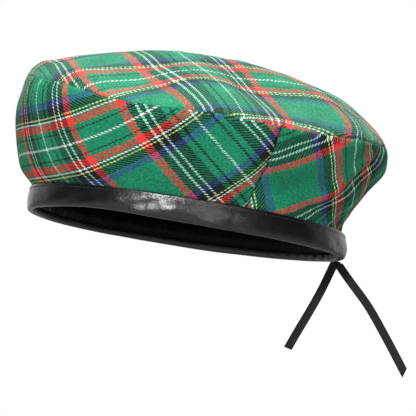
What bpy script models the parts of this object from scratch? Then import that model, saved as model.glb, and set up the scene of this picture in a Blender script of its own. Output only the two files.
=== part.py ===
# Tam o' shanter: two side panels and a round top of tartan cloth on a folded leather band,
# with a lining inside and the tails of a ribbon tie at the back.
# The front of the hat looks along -Y, the wearer's left is +X, and the rim stands on z = 0.

import math

import bmesh
import bpy
import numpy as np
from mathutils import Vector

# Head opening, measured outside the band
RIM_LENGTH = 0.2035
RIM_WIDTH = 0.164

# Leather band, folded round the edge of the cloth
BAND_HEIGHT = 0.0155
BAND_THICKNESS = 0.0038
BAND_LEAF = 0.0010

# Cloth and lining
CLOTH = 0.0012
LINING = 0.0010
GAP = 0.0003
TOP_EASE = 0.0009
TUCK = 0.0030
CROWN_HEIGHT = 0.1140
SIDE_SEAM = 101.0

# Ribbon tie
RIBBON_WIDTH = 0.0053
RIBBON_THICKNESS = 0.0010
KNOT_THICKNESS = 0.0026
TIE_AZIMUTH = 178.0

# Mesh steps round the hat and up one span of a side section
AROUND = 56
PER_SPAN = 2

# Sections round the hat, from the front by the wearer's left.
# Each point of the side is out from the rim and up from its bottom, in shares of BODY_REACH.
# The last five columns give the share of the climb to the top that is done at TOP_SHARES.
BODY_REACH = 0.1
SECTION_COLUMNS = ("azimuth", "rim_dip", "low_out", "low_up", "mid_out", "mid_up", "high_out",
                   "high_up", "seam_out", "seam_up", "top_1", "top_2", "top_3", "top_4", "top_5")
SECTIONS = (
    (16, 0.000, 0.088, 0.270, 0.142, 0.425, 0.170, 0.600, 0.146, 0.765, 0.16, 0.32, 0.53, 0.77, 0.94),
    (46, 0.000, 0.070, 0.270, 0.150, 0.410, 0.215, 0.545, 0.231, 0.668, 0.11, 0.29, 0.50, 0.735, 0.92),
    (76, 0.000, 0.062, 0.260, 0.150, 0.385, 0.240, 0.515, 0.282, 0.645, 0.085, 0.25, 0.46, 0.705, 0.91),
    (121, 0.000, 0.025, 0.270, 0.115, 0.390, 0.215, 0.520, 0.264, 0.643, 0.10, 0.27, 0.49, 0.73, 0.92),
    (166, 0.000, -0.034, 0.280, 0.075, 0.405, 0.182, 0.570, 0.174, 0.735, 0.17, 0.41, 0.64, 0.82, 0.94),
    (211, 0.000, 0.010, 0.280, 0.085, 0.415, 0.170, 0.570, 0.185, 0.730, 0.15, 0.38, 0.60, 0.80, 0.93),
    (256, -0.018, 0.040, 0.275, 0.140, 0.400, 0.240, 0.540, 0.290, 0.670, 0.11, 0.30, 0.52, 0.75, 0.92),
    (301, -0.027, 0.060, 0.280, 0.150, 0.420, 0.235, 0.565, 0.270, 0.710, 0.16, 0.34, 0.55, 0.78, 0.94),
    (346, -0.004, 0.088, 0.270, 0.137, 0.430, 0.165, 0.640, 0.130, 0.848, 0.235, 0.385, 0.60, 0.80, 0.95),
)
TOP_SHARES = (0.95, 0.85, 0.72, 0.53, 0.31)
TOP_ROWS = (1.0, 0.955, 0.90, 0.82, 0.72, 0.60, 0.45, 0.28, 0.12)

# Soft folds: place counts 0 at the band, 1 at the top seam and 2 in the middle of the top.
# Slant turns the fold's azimuth along its place, lift is a share of BODY_REACH.
FOLD_COLUMNS = ("name", "azimuth", "place", "azimuth_width", "place_width", "slant", "lift")
FOLDS = (
    ("front_pillow", 350.0, 1.10, 22.0, 0.16, 0.0, 0.020),
    ("front_valley", 20.0, 1.22, 9.0, 0.20, 20.0, -0.030),
    ("seam_pucker", 92.0, 1.06, 8.0, 0.10, 0.0, -0.020),
    ("back_crease", 140.0, 0.55, 8.0, 0.40, 40.0, 0.025),
)

# Cross-section of the folded band, from the top of its outside leaf round to the inside.
# Out is a share of BAND_THICKNESS from the rim line, up a share of BAND_HEIGHT.
BAND_COLUMNS = ("out", "up")
BAND_SECTION = (
    (0.00, 1.00), (0.22, 0.78), (0.32, 0.48), (0.22, 0.18), (-0.04, 0.03), (-0.50, 0.00),
    (-0.92, 0.07), (-1.00, 0.17), (-1.00, 0.32), (-0.737, 0.32), (-0.737, 0.16),
    (-0.50, 0.085), (-0.263, 0.15), (-0.263, 1.00),
)

# Routes of the two ribbon tails from the knot: across is along the picture's level line,
# beside is square to it, drop is down, all in shares of TAIL_REACH.
TAIL_REACH = 0.1
TAIL_AZIMUTH = 76.0
TAIL_COLUMNS = ("across", "beside", "drop")
TAIL_FRONT = ((-0.017, 0.021, 0.016), (-0.082, 0.024, 0.220), (-0.132, 0.022, 0.349),
              (-0.183, 0.018, 0.472), (-0.233, 0.010, 0.597))
TAIL_BACK = ((0.016, -0.021, 0.025), (0.087, -0.026, 0.100), (0.235, -0.030, 0.252),
             (0.369, -0.022, 0.426), (0.524, 0.000, 0.643))
TAIL_STEPS = 20


def clear_scene():
    for thing in list(bpy.data.objects):
        bpy.data.objects.remove(thing, do_unlink=True)


def direction(azimuth):
    angle = math.radians(azimuth)
    return Vector((math.sin(angle), -math.cos(angle), 0.0))


def rim_radius(azimuth):
    across, along = direction(azimuth).x / (RIM_WIDTH / 2), direction(azimuth).y / (RIM_LENGTH / 2)
    return 1.0 / math.hypot(across, along)


def hermite(knots, values, x):
    # smooth curve through uneven knots, with slopes taken from the neighbours
    knots, values = np.asarray(knots, float), np.asarray(values, float)
    slopes = np.gradient(values, knots)
    k = int(np.clip(np.searchsorted(knots, x) - 1, 0, len(knots) - 2))
    span = knots[k + 1] - knots[k]
    t = (x - knots[k]) / span
    return ((2 * t ** 3 - 3 * t ** 2 + 1) * values[k] + (t ** 3 - 2 * t ** 2 + t) * span * slopes[k]
            + (3 * t ** 2 - 2 * t ** 3) * values[k + 1] + (t ** 3 - t ** 2) * span * slopes[k + 1])


def section_at(azimuth):
    # one row of the section table for any azimuth, wrapped round the hat
    table = np.array(SECTIONS)
    wrapped = np.vstack([table[-2:] - np.eye(1, table.shape[1])[0] * 360.0, table,
                         table[:2] + np.eye(1, table.shape[1])[0] * 360.0])
    azimuth = azimuth % 360.0
    return {name: hermite(wrapped[:, 0], wrapped[:, i], azimuth)
            for i, name in enumerate(SECTION_COLUMNS) if i}


def fold_lift(azimuth, place):
    total = 0.0
    for name, at, row, wide, tall, slant, lift in FOLDS:
        turn = (azimuth - at - slant * (place - row) + 180.0) % 360.0 - 180.0
        total += lift * BODY_REACH * math.exp(-(turn / wide) ** 2 - ((place - row) / tall) ** 2)
    return total


def side_rows(azimuth):
    # outside of the side panel: the tucked edge, then the spans between band, low, mid, high, seam
    row, rim = section_at(azimuth), rim_radius(azimuth)
    foot, dip = rim - BAND_LEAF - GAP, row["rim_dip"] * BODY_REACH
    knots = [(foot, BAND_HEIGHT + dip)]
    knots += [(rim + row[n + "_out"] * BODY_REACH, row[n + "_up"] * BODY_REACH)
              for n in ("low", "mid", "high", "seam")]
    steps = np.linspace(0, 4, 4 * PER_SPAN + 1)
    points = [(foot, TUCK + dip)]
    points += [tuple(hermite(range(5), [k[c] for k in knots], s) for c in (0, 1)) for s in steps]
    return points, [0.0] + list(steps / 4)


def top_rows(azimuth):
    # outside of the top panel, from the seam towards the middle
    row, rim = section_at(azimuth), rim_radius(azimuth)
    reach, start = rim + row["seam_out"] * BODY_REACH, row["seam_up"] * BODY_REACH
    knots = [0.0] + [1 - s for s in TOP_SHARES] + [1.0]
    climbs = [0.0] + [row["top_%d" % k] for k in range(1, 6)] + [1.0]
    points = [(reach * share, start + (CROWN_HEIGHT - start) * hermite(knots, climbs, 1 - share))
              for share in TOP_ROWS] + [(0.0, CROWN_HEIGHT)]
    return points, [2 - share for share in TOP_ROWS] + [2.0]


def inward(points, distances):
    # the profile moved in by a distance at each point, with mitred corners
    pts = np.array(points)
    step = np.diff(pts, axis=0)
    step /= np.linalg.norm(step, axis=1)[:, None]
    normals = np.column_stack([-step[:, 1], step[:, 0]])
    result = []
    for k, point in enumerate(pts):
        before, after = normals[max(k - 1, 0)], normals[min(k, len(normals) - 1)]
        both = before + after
        both /= np.linalg.norm(both)
        result.append(point + both * distances[k] / max(float(both @ after), 0.5))
    result[-1][0] = 0.0 if points[-1][0] == 0.0 else result[-1][0]
    return [tuple(p) for p in result]


def cloth_profile(azimuth):
    # the whole outside from the tucked edge to the middle of the top, with the folds put in
    side, side_place = side_rows(azimuth)
    top, top_place = top_rows(azimuth)
    points, places = side + top[1:], side_place + top_place[1:]
    lifts = [-fold_lift(azimuth, place) if place > 0.0 else 0.0 for place in places]
    lifts[-1] = 0.0
    return inward(points, lifts), places, len(side)


def place_point(azimuth, point):
    ray = direction(azimuth)
    return (ray.x * point[0], ray.y * point[0], point[1])


def colour_material(name, colour, roughness):
    material = bpy.data.materials.new(name)
    material.use_nodes = True
    shader = material.node_tree.nodes["Principled BSDF"]
    shader.inputs["Base Color"].default_value = (*colour, 1.0)
    shader.inputs["Roughness"].default_value = roughness
    return material


def solid(name, points, faces, material, smooth=35.0):
    mesh = bpy.data.meshes.new(name)
    mesh.from_pydata([tuple(p) for p in points], [], faces)
    body = bmesh.new()
    body.from_mesh(mesh)
    bmesh.ops.remove_doubles(body, verts=body.verts, dist=1e-7)
    bmesh.ops.recalc_face_normals(body, faces=body.faces)
    body.to_mesh(mesh)
    body.free()
    thing = bpy.data.objects.new(name, mesh)
    bpy.context.scene.collection.objects.link(thing)
    mesh.materials.append(material)
    mesh.shade_smooth()
    mesh.set_sharp_from_angle(angle=math.radians(smooth))
    return thing


def split_quad(a, b, j, n, outside):
    # both sides of a wall are split along the same diagonal, so walls that nest stay clear
    if outside:
        return [(a + j, b + j, b + n), (a + j, b + n, a + n)]
    return [(a + j, b + j, a + n), (b + j, b + n, a + n)]


def grid_solid(name, rings, closed_round, closed_section, material):
    # rings: one closed or open cross-section for each azimuth, joined round the hat
    count, size = len(rings), len(rings[0])
    points = [p for ring in rings for p in ring]
    faces = []
    for k in range(count if closed_round else count - 1):
        a, b = k * size, ((k + 1) % count) * size
        for j in range(size if closed_section else size - 1):
            faces += split_quad(a, b, j, (j + 1) % size, j < size / 2)
    if not closed_round:
        faces.append(tuple(range(size)))
        faces.append(tuple((count - 1) * size + j for j in reversed(range(size))))
    return solid(name, points, faces, material)


def make_band(material):
    rings = []
    for azimuth in azimuths():
        rim, dip = rim_radius(azimuth), section_at(azimuth)["rim_dip"] * BODY_REACH
        rings.append([place_point(azimuth, (rim + out * BAND_THICKNESS, up * BAND_HEIGHT + dip))
                      for out, up in BAND_SECTION])
    return grid_solid("band", rings, True, True, material)


def azimuths(first=0.0, last=360.0):
    count = round(AROUND * (last - first) / 360.0)
    full = abs(last - first - 360.0) < 1e-6
    return [first + (last - first) * k / count for k in range(count if full else count + 1)]


def panel_section(azimuth, side):
    # closed cross-section of one cloth panel: outside then inside, parted at the top seam
    outer, places, seam = cloth_profile(azimuth)
    inner = inward(outer, [CLOTH] * len(outer))
    if side:
        return outer[:seam], inner[:seam]
    shift = [tuple(np.array(outer[seam]) - np.array(outer[seam - 1]))]
    length = math.hypot(*shift[0])
    move = (shift[0][0] / length * GAP * 1.6, shift[0][1] / length * GAP * 1.6)
    first_out = (outer[seam - 1][0] + move[0], outer[seam - 1][1] + move[1])
    first_in = (inner[seam - 1][0] + move[0], inner[seam - 1][1] + move[1])
    return [first_out] + outer[seam:], [first_in] + inner[seam:]


def make_side(name, first, last, material):
    clear = math.degrees(GAP * 0.55 / (RIM_WIDTH / 2))
    stations = grid_azimuths(first + clear, last - clear)
    rings = []
    for azimuth in stations:
        outer, inner = panel_section(azimuth, True)
        rings.append([place_point(azimuth, p) for p in outer + inner[::-1]])
    return grid_solid(name, rings, False, True, material)


def grid_azimuths(first, last):
    # the whole hat's azimuth lines between two ends, so that neighbours share their facets
    step = 360.0 / AROUND
    inside = [k * step for k in range(-AROUND, 2 * AROUND)
              if first + 0.35 * step < k * step < last - 0.35 * step]
    return [first] + inside + [last]


def make_top(material):
    outer_rings, inner_rings = [], []
    for azimuth in azimuths():
        outer, inner = panel_section(azimuth, False)
        outer_rings.append([place_point(azimuth, p) for p in outer])
        inner_rings.append([place_point(azimuth, p) for p in inner])
    return domed("crown_top", outer_rings, inner_rings, material)


def domed(name, outer_rings, inner_rings, material):
    # a wall between two domes whose last point of every ring is the shared middle
    count, size = len(outer_rings), len(outer_rings[0]) - 1
    rings = [o[:-1] + i[:-1][::-1] for o, i in zip(outer_rings, inner_rings)]
    points = [p for ring in rings for p in ring]
    wide = 2 * size
    crown, ceiling = len(points), len(points) + 1
    points += [outer_rings[0][-1], inner_rings[0][-1]]
    faces = []
    for k in range(count):
        a, b = k * wide, ((k + 1) % count) * wide
        for j in range(wide):
            if j == size - 1:
                faces.append((a + j, b + j, crown))
                faces.append((b + j + 1, a + j + 1, ceiling))
            else:
                faces += split_quad(a, b, j, (j + 1) % wide, j < size)
    return solid(name, points, faces, material)


def make_lining(material):
    # follows the inside of the cloth from the band's inner leaf to the middle of the top
    start = BAND_SECTION[8][1] * BAND_HEIGHT + GAP
    outer_rings, inner_rings = [], []
    for azimuth in azimuths():
        cloth, places, seam = cloth_profile(azimuth)
        cloth[0] = (cloth[0][0], start + section_at(azimuth)["rim_dip"] * BODY_REACH)
        keep = [k for k in range(len(cloth)) if k < seam or (k - seam) % 2 == 1 or k == len(cloth) - 1]
        far = [CLOTH + GAP + (TOP_EASE if place > 1.0 else 0.0) for place in places]
        outer = inward(cloth, far)
        inner = inward(cloth, [d + LINING for d in far])
        outer_rings.append([place_point(azimuth, outer[k]) for k in keep])
        inner_rings.append([place_point(azimuth, inner[k]) for k in keep])
    return domed("lining", outer_rings, inner_rings, material)


def tie_point():
    # middle of the knot, under the band at the back
    return direction(TIE_AZIMUTH) * (rim_radius(TIE_AZIMUTH) - 0.5 * BAND_THICKNESS)


def tail_frame():
    across = direction(TAIL_AZIMUTH + 90.0)
    return across, direction(TAIL_AZIMUTH)


def make_knot(material):
    across, beside = tail_frame()
    half = (RIBBON_WIDTH * 0.55, KNOT_THICKNESS / 2, RIBBON_WIDTH * 0.45)
    middle = tie_point() - Vector((0, 0, half[2] + GAP))
    body = bmesh.new()
    bmesh.ops.create_icosphere(body, subdivisions=2, radius=1.0)
    for vert in body.verts:
        unit = Vector([math.copysign(abs(c) ** 0.75, c) for c in vert.co])
        vert.co = middle + across * unit.x * half[0] + beside * unit.y * half[1] \
            + Vector((0, 0, 1)) * unit.z * half[2]
    points = [vert.co.copy() for vert in body.verts]
    faces = [[vert.index for vert in face.verts] for face in body.faces]
    body.free()
    return solid("ribbon_knot", points, faces, material, 60.0)


def tail_route(rows, steps):
    across, beside = tail_frame()
    start = tie_point()
    knots = [start + (across * a + beside * b - Vector((0, 0, d))) * TAIL_REACH for a, b, d in rows]
    run = [0.0]
    for p, q in zip(knots, knots[1:]):
        run.append(run[-1] + (q - p).length)
    return [Vector([hermite(run, [k[c] for k in knots], run[-1] * s / steps) for c in range(3)])
            for s in range(steps + 1)]


def make_tail(name, rows, material):
    # a flat strip whose broad face looks square to the picture's level line
    route = tail_route(rows, TAIL_STEPS)
    face = tail_frame()[1]
    rings = []
    for k, point in enumerate(route):
        along = (route[min(k + 1, TAIL_STEPS)] - route[max(k - 1, 0)]).normalized()
        wide = along.cross(face).normalized() * RIBBON_WIDTH / 2
        thick = wide.cross(along).normalized() * RIBBON_THICKNESS / 2
        rings.append([point + wide + thick, point + wide - thick,
                      point - wide - thick, point - wide + thick])
    return grid_solid(name, rings, False, True, material)


clear_scene()
tartan_top = colour_material("tartan_top_cloth", (0.03, 0.22, 0.12), 0.9)
tartan_front = colour_material("tartan_front_cloth", (0.03, 0.20, 0.11), 0.9)
tartan_back = colour_material("tartan_back_cloth", (0.03, 0.19, 0.10), 0.9)
leather = colour_material("band_leather", (0.012, 0.011, 0.012), 0.38)
satin = colour_material("lining_satin", (0.010, 0.010, 0.011), 0.5)
knot_ribbon = colour_material("knot_ribbon", (0.012, 0.012, 0.013), 0.6)
front_ribbon = colour_material("front_ribbon", (0.013, 0.012, 0.013), 0.6)
back_ribbon = colour_material("back_ribbon", (0.013, 0.012, 0.013), 0.6)

make_top(tartan_top)
make_side("side_front", -SIDE_SEAM, SIDE_SEAM, tartan_front)
make_side("side_back", SIDE_SEAM, 360.0 - SIDE_SEAM, tartan_back)
make_band(leather)
make_lining(satin)
make_knot(knot_ribbon)
make_tail("ribbon_tail_front", TAIL_FRONT, front_ribbon)
make_tail("ribbon_tail_back", TAIL_BACK, back_ribbon)
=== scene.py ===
# %% [markdown]
# The tam o' shanter of this lesson is a soft round hat: a wide crown of brushed tartan cloth, cut as a
# round top and two curved side panels, on a narrow band of black leather folded round the edge.
# A black lining hides the seams, and a ribbon tie hangs out at the back.
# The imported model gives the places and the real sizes. It is loaded first and never moved.

# %% Load the frame
import math

import bmesh
import bpy
import numpy as np
from mathutils import Matrix, Vector, noise


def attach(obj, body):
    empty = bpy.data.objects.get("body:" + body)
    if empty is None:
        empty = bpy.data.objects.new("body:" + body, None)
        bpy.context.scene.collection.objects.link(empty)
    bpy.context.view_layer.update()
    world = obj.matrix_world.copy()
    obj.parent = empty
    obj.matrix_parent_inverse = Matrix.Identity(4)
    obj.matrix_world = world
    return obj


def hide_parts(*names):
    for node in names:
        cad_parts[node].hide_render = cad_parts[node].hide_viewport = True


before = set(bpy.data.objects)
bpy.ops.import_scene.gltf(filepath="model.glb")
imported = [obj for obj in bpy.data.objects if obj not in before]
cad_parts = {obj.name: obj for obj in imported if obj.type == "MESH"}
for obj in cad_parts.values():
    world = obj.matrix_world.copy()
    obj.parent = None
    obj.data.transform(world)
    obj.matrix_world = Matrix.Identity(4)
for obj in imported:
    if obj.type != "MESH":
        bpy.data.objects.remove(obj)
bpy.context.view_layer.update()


def add_object(name, data):
    thing = bpy.data.objects.new(name, data)
    bpy.context.scene.collection.objects.link(thing)
    return thing


# %% [markdown]
# The camera comes before any cloth, because every later choice is judged through it.
# A long lens far away keeps the hat's curves flat, as in a catalogue picture taken from the wearer's
# left and a little below the rim. A tilt about the line of sight could also be made by turning the hat,
# but the hat has to stay where the model puts it, so the camera rolls instead.

# %% Camera
VIEW_AZIMUTH = 76.0
VIEW_DISTANCE = 1.97
VIEW_HEIGHT = -0.182
VIEW_AIM = (0.0111, 0.0193)
VIEW_ROLL = 8.45
VIEW_LENS = 271.8


def direction(azimuth):
    angle = math.radians(azimuth)
    return Vector((math.sin(angle), -math.cos(angle), 0.0))


def turn_from(azimuth, start):
    # the shorter way round from one azimuth to another, in degrees
    return (azimuth - start + 180.0) % 360.0 - 180.0


def bell(distance, reach):
    # 1 at no distance, fading smoothly to nothing beyond the reach
    return np.exp(-(distance / reach) ** 2)


def place_camera():
    camera = add_object("photo_camera", bpy.data.cameras.new("photo_camera"))
    place = direction(VIEW_AZIMUTH) * VIEW_DISTANCE + Vector((0, 0, VIEW_HEIGHT))
    target = direction(VIEW_AZIMUTH + 90) * VIEW_AIM[0] + Vector((0, 0, VIEW_AIM[1]))
    forward = (target - place).normalized()
    right = forward.cross(Vector((0, 0, 1))).normalized()
    up = right.cross(forward)
    turn = math.radians(VIEW_ROLL)
    tilted_right = right * math.cos(turn) + up * math.sin(turn)
    tilted_up = up * math.cos(turn) - right * math.sin(turn)
    rotation = Matrix((tilted_right, tilted_up, -forward)).transposed().to_4x4()
    camera.matrix_world = Matrix.Translation(place) @ rotation
    camera.data.lens, camera.data.sensor_width = VIEW_LENS, 36.0
    camera.data.clip_start, camera.data.clip_end = 0.05, 20.0
    bpy.context.scene.camera = camera
    return camera


photo_camera = place_camera()
print("camera", [round(c, 3) for c in photo_camera.location], "lens", VIEW_LENS)

# %% [markdown]
# Two ribbon tails hang from the knot of the tie, under the band at the back. The ribbon is narrow,
# ribbed across and flat, so each tail is a strip swept along its route, not a round cable.
# The route is a smooth curve through a few points, and the same points shape the model's strips.
# Helpers for smooth curves come first, as the crown uses them too.

# %% A smooth curve through uneven knots
def hermite(knots, values, x):
    knots, values, x = (np.asarray(a, float) for a in (knots, values, x))
    slopes = np.gradient(values, knots, axis=0)
    k = np.clip(np.searchsorted(knots, x) - 1, 0, len(knots) - 2)
    wide = (slice(None),) + (None,) * (values.ndim - 1)
    span = (knots[k + 1] - knots[k])[wide]
    t = (x - knots[k])[wide] / span
    return ((2 * t ** 3 - 3 * t ** 2 + 1) * values[k] + (t ** 3 - 2 * t ** 2 + t) * span * slopes[k]
            + (3 * t ** 2 - 2 * t ** 3) * values[k + 1] + (t ** 3 - t ** 2) * span * slopes[k + 1])


# %% [markdown]
# The head opening is an oval, and the tie sits on it at the back. Each tail's route is given by a few
# points that were followed along the tail in the picture.

# %% The rim and the ribbon's routes
RIM_LENGTH = 0.2035
RIM_WIDTH = 0.164
BAND_HEIGHT = 0.0155
BAND_THICKNESS = 0.0038
RIBBON_WIDTH = 0.0053
RIBBON_THICKNESS = 0.0008
TIE_AZIMUTH = 178.0
REACH = 0.1
# across the view, beside it and down, in shares of REACH from the knot
TAIL_FRONT = ((-0.017, 0.021, 0.016), (-0.082, 0.024, 0.22), (-0.132, 0.022, 0.349),
              (-0.183, 0.018, 0.472), (-0.233, 0.01, 0.597))
TAIL_BACK = ((0.016, -0.021, 0.025), (0.087, -0.026, 0.1), (0.235, -0.03, 0.252),
             (0.369, -0.022, 0.426), (0.524, 0, 0.643))
TAIL_STEPS = 40
ACROSS, BESIDE = direction(VIEW_AZIMUTH + 90), direction(VIEW_AZIMUTH)


def rim_radius(azimuth):
    angle = np.radians(azimuth)
    return 1.0 / np.hypot(np.sin(angle) / (RIM_WIDTH / 2), np.cos(angle) / (RIM_LENGTH / 2))


def tie_point():
    # the middle of the fold's underside, where the ribbon comes out
    return direction(TIE_AZIMUTH) * float(rim_radius(TIE_AZIMUTH) - 0.5 * BAND_THICKNESS)


def tail_route(rows, steps):
    knots = [tie_point() + (ACROSS * a + BESIDE * b - Vector((0, 0, d))) * REACH for a, b, d in rows]
    run = np.cumsum([0.0] + [(q - p).length for p, q in zip(knots, knots[1:])])
    return [Vector(p) for p in hermite(run, [tuple(k) for k in knots], np.linspace(0, run[-1], steps))]


def route_length(route):
    return sum((q - p).length for p, q in zip(route, route[1:]))


front_route, back_route = tail_route(TAIL_FRONT, TAIL_STEPS), tail_route(TAIL_BACK, TAIL_STEPS)
print("tails in mm:", [round(1000 * route_length(route), 1) for route in (front_route, back_route)])

# %% [markdown]
# A strip needs a cross-section with softly thickened edges, because a woven ribbon has a firmer
# selvedge. It is carried along the route, and the last rings slide along it so that the end is cut
# on the slant. A map in metres, across and along, is kept for the ribs.

# %% Sweep the ribbon
# half of the ribbon's cross-section, in shares of its width and thickness; the other half mirrors it
RIBBON_EDGE = ((-0.5, 0.25), (-0.47, 0.5), (-0.40, 0.42), (-0.2, 0.34), (0.0, 0.32), (0.2, 0.34),
               (0.40, 0.42), (0.47, 0.5), (0.5, 0.25))
RIBBON_SECTION = RIBBON_EDGE + tuple((-across, -deep) for across, deep in RIBBON_EDGE)
CUT_RINGS = 6
BOW_TURN = 3.1


def new_piece(name, points, faces, maps=()):
    # a plain mesh object; each map is (name, one pair for every point)
    mesh = bpy.data.meshes.new(name)
    mesh.from_pydata([tuple(p) for p in points], [], [tuple(f) for f in faces])
    corners = np.empty(len(mesh.loops), dtype=np.int32)
    mesh.loops.foreach_get("vertex_index", corners)
    for label, pairs in maps:
        layer = mesh.uv_layers.new(name=label)
        layer.data.foreach_set("uv", np.asarray(pairs, float)[corners].astype(np.float32).ravel())
    mesh.shade_smooth()
    return add_object(name, mesh)


def sweep_ribbon(name, route, slant, curl):
    points, flat, faces, along = [], [], [], 0.0
    size, last = len(RIBBON_SECTION), len(route) - 1
    for k, point in enumerate(route):
        if k:
            along += (point - route[k - 1]).length
        ahead = (route[min(k + 1, last)] - route[max(k - 1, 0)]).normalized()
        wide = ahead.cross(BESIDE).normalized()
        thick = wide.cross(ahead).normalized()
        # the last rings slide along the ribbon, which cuts the end on the slant
        fade = max(0.0, (k - last + CUT_RINGS) / CUT_RINGS)
        for across, deep in RIBBON_SECTION:
            bow = curl * (4 * across * across - 1) * RIBBON_WIDTH * math.sin(BOW_TURN * k / last)
            points.append(point + wide * across * RIBBON_WIDTH
                          + thick * (deep * RIBBON_THICKNESS + bow)
                          + ahead * across * slant * RIBBON_WIDTH * fade)
            flat.append((across * RIBBON_WIDTH, along + across * slant * RIBBON_WIDTH * fade))
    for k in range(last):
        a, b = k * size, (k + 1) * size
        faces += [(a + j, a + (j + 1) % size, b + (j + 1) % size, b + j) for j in range(size)]
    faces += [tuple(reversed(range(size))), tuple(last * size + j for j in range(size))]
    piece = new_piece(name, points, faces, maps=[("ribbon_map", flat)])
    close_outward(piece)
    return piece


def close_outward(piece):
    body = bmesh.new()
    body.from_mesh(piece.data)
    bmesh.ops.recalc_face_normals(body, faces=body.faces)
    body.to_mesh(piece.data)
    body.free()


tail_front = sweep_ribbon("ribbon_tail_front_cloth", front_route, 0.12, 0.03)
tail_back = sweep_ribbon("ribbon_tail_back_cloth", back_route, 0.75, -0.04)
print("ribbon faces:", len(tail_front.data.polygons), len(tail_back.data.polygons))

# %% [markdown]
# The knot is where the ribbon comes out of the band's fold and is tied. It is small, dark and squashed,
# with the ribbon's turns lying over each other. A rounded block with raised turns on it reads as a knot
# at this size, and it fills the same place as the model's solid.

# %% Tie the knot
KNOT_HALF = (RIBBON_WIDTH * 0.55, 0.0013, RIBBON_WIDTH * 0.45)
KNOT_GAP = 0.0001
KNOT_SQUARENESS = 0.7


def tie_knot():
    middle = tie_point() - Vector((0, 0, KNOT_HALF[2] + KNOT_GAP))
    body = bmesh.new()
    bmesh.ops.create_icosphere(body, subdivisions=4, radius=1.0)
    flat = []
    for vert in body.verts:
        unit = Vector([math.copysign(abs(c) ** KNOT_SQUARENESS, c) for c in vert.co])
        turns = 1.0 + 0.07 * math.sin(9.0 * unit.z + 5.0 * unit.x)
        sideways = ACROSS * unit.x * KNOT_HALF[0] + BESIDE * unit.y * KNOT_HALF[1]
        vert.co = middle + sideways * turns + Vector((0, 0, unit.z * KNOT_HALF[2]))
        flat.append((unit.x * KNOT_HALF[0], unit.z * KNOT_HALF[2]))
    points = [vert.co.copy() for vert in body.verts]
    faces = [[v.index for v in face.verts] for face in body.faces]
    body.free()
    piece = new_piece("ribbon_knot_cloth", points, faces, maps=[("ribbon_map", flat)])
    close_outward(piece)
    return piece


knot = tie_knot()
for piece, node in ((tail_front, "ribbon_tail_front"), (tail_back, "ribbon_tail_back"),
                    (knot, "ribbon_knot")):
    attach(piece, "root")
    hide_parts(node)


print("knot points:", len(knot.data.vertices))

# %% [markdown]
# The crown is one soft surface cut into three panels. Nine upright sections round the hat say how far
# the cloth stands out from the rim and how high it is, and a smooth curve runs through them both ways.
# A cloth simulation could inflate flat panels, but here the hat's own slumped shape is wanted,
# so the sections are given as numbers and the small folds are laid over them.

# %% Sections of the crown
TUCK = 0.0030
CROWN_HEIGHT = 0.1140
SIDE_SEAM = 101.0
LEAF_GAP = 0.0013
SECTIONS = np.array((
    # azimuth, rim dip, then out and up at low, middle, high and the seam, then five climbs of the top
    (16, 0, 0.088, 0.27, 0.142, 0.425, 0.17, 0.6, 0.146, 0.765, 0.16, 0.32, 0.53, 0.77, 0.94),
    (46, 0, 0.07, 0.27, 0.15, 0.41, 0.215, 0.545, 0.231, 0.668, 0.11, 0.29, 0.5, 0.735, 0.92),
    (76, 0, 0.062, 0.26, 0.15, 0.385, 0.24, 0.515, 0.282, 0.645, 0.085, 0.25, 0.46, 0.705, 0.91),
    (121, 0, 0.025, 0.27, 0.115, 0.39, 0.215, 0.52, 0.264, 0.643, 0.1, 0.27, 0.49, 0.73, 0.92),
    (166, 0, -0.034, 0.28, 0.075, 0.405, 0.182, 0.57, 0.174, 0.735, 0.17, 0.41, 0.64, 0.82, 0.94),
    (211, 0, 0.01, 0.28, 0.085, 0.415, 0.17, 0.57, 0.185, 0.73, 0.15, 0.38, 0.6, 0.8, 0.93),
    (256, -0.018, 0.04, 0.275, 0.14, 0.4, 0.24, 0.54, 0.29, 0.67, 0.11, 0.3, 0.52, 0.75, 0.92),
    (301, -0.027, 0.06, 0.28, 0.15, 0.42, 0.235, 0.565, 0.27, 0.71, 0.16, 0.34, 0.55, 0.78, 0.94),
    (346, -0.004, 0.088, 0.27, 0.137, 0.43, 0.165, 0.64, 0.13, 0.848, 0.235, 0.385, 0.6, 0.8, 0.95),
))
TOP_SHARES = (0.95, 0.85, 0.72, 0.53, 0.31)


def sections_at(azimuth):
    turn = np.zeros(SECTIONS.shape[1])
    turn[0] = 360.0
    rows = np.vstack([SECTIONS[-2:] - turn, SECTIONS, SECTIONS[:2] + turn])
    return hermite(rows[:, 0], rows[:, 1:], np.asarray(azimuth, float) % 360.0).T


print("section columns:", sections_at([0.0, 90.0]).shape)

# %% [markdown]
# Folds are what make a soft hat look soft. Each row of the first table is one smooth bump or valley:
# where it lies, how wide and tall it is, how it slants and how far it lifts. The first four rows are
# in the model too, and the others are only here. The second table is a grid of gentle waves, all of one
# width. Their heights come from a least squares fit: lines were traced along the stripes in the
# picture, and the waves are what brings the stripes of the model onto them. In a view that grazes the
# cloth a rise of 1 mm moves a stripe by several mm. Noise with a fixed pattern adds the slight unevenness
# of brushed cloth.

# %% Folds
FOLDS = (
    # azimuth, place (0 band, 1 top seam, 2 middle of the top), widths in both, slant, lift in metres
    ("front_pillow", 350, 1.1, 22, 0.16, 0, 0.002),
    ("front_valley", 20, 1.22, 9, 0.2, 20, -0.003),
    ("seam_pucker", 92, 1.06, 8, 0.1, 0, -0.002),
    ("back_crease", 140, 0.55, 8, 0.4, 40, 0.0025),
    ("back_root", 166, 0.26, 24, 0.13, 0, 0.0026),
    ("back_foot", 168, 0.02, 30, 0.07, 0, -0.001),
    ("back_flat", 164, 0.6, 18, 0.15, 0, -0.0022),
    ("crease_edge", 138.5, 0.66, 2.4, 0.3, 22, 0.001),
    ("crease_valley", 144.5, 0.62, 3.4, 0.3, 22, -0.0034),
)
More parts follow.
